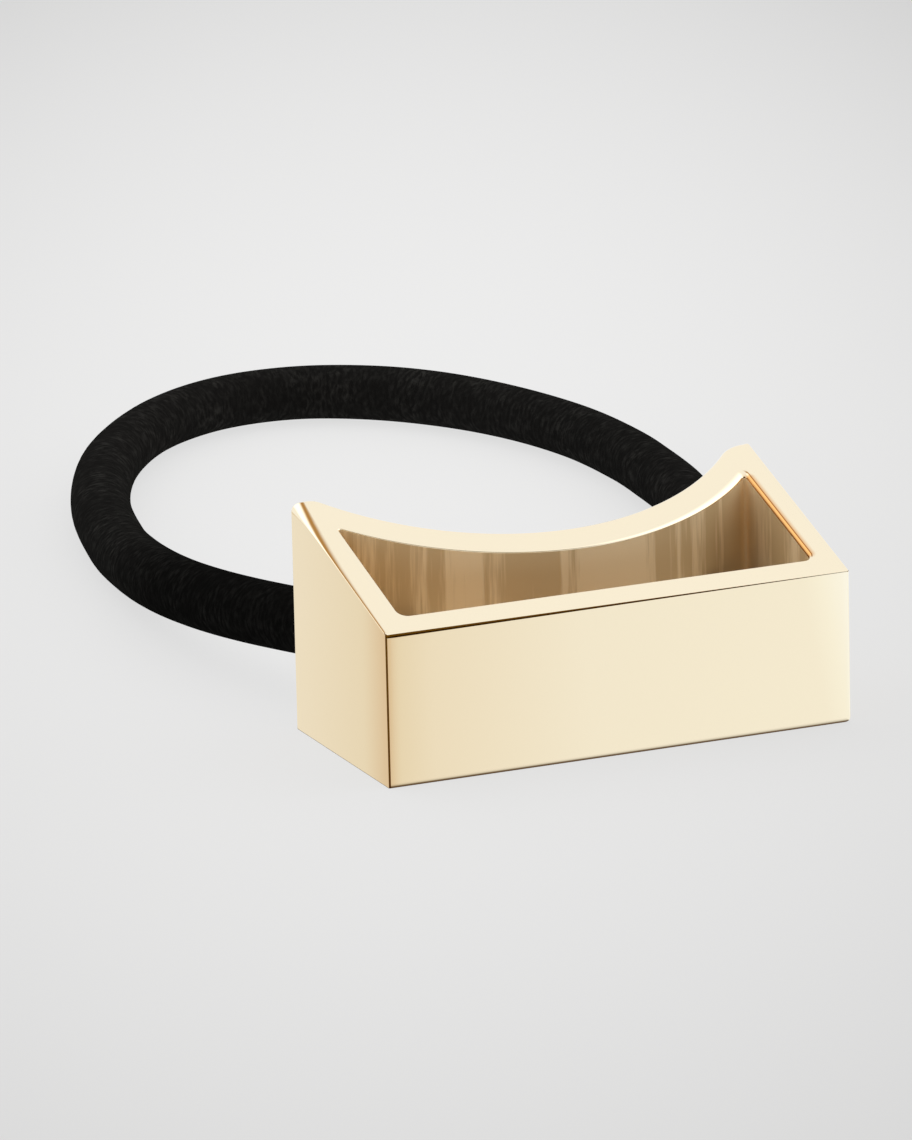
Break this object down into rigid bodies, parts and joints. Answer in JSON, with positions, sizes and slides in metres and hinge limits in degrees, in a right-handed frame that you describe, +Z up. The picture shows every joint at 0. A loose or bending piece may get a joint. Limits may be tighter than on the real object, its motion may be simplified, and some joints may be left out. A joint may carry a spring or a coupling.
{
  "type": "ponytail cuff",
  "caption": "Slant-topped open metal tube with a hollowed back that hugs a ponytail, held by a thick round elastic loop through its back wall.",
  "frame": {"origin": "middle of the cuff's bottom, the face that it rests on", "axes": "+X along the cuff's front face, +Y back through the hollowed seat towards the elastic loop, +Z up through the slanted rim"},
  "size_m": [0.0637, 0.1238, 0.0206],
  "materials": {
    "polished_gold": "high polish pale gold plating",
    "black_elastic": "matt black brushed knitted cover",
    "plain_cap_metal": "plain satin gold plating"
  },
  "bodies": {
    "root": {"cuff": "polished_gold", "elastic": "black_elastic", "left_end_stop": "plain_cap_metal", "right_end_stop": "plain_cap_metal"}
  },
  "joints": []
}
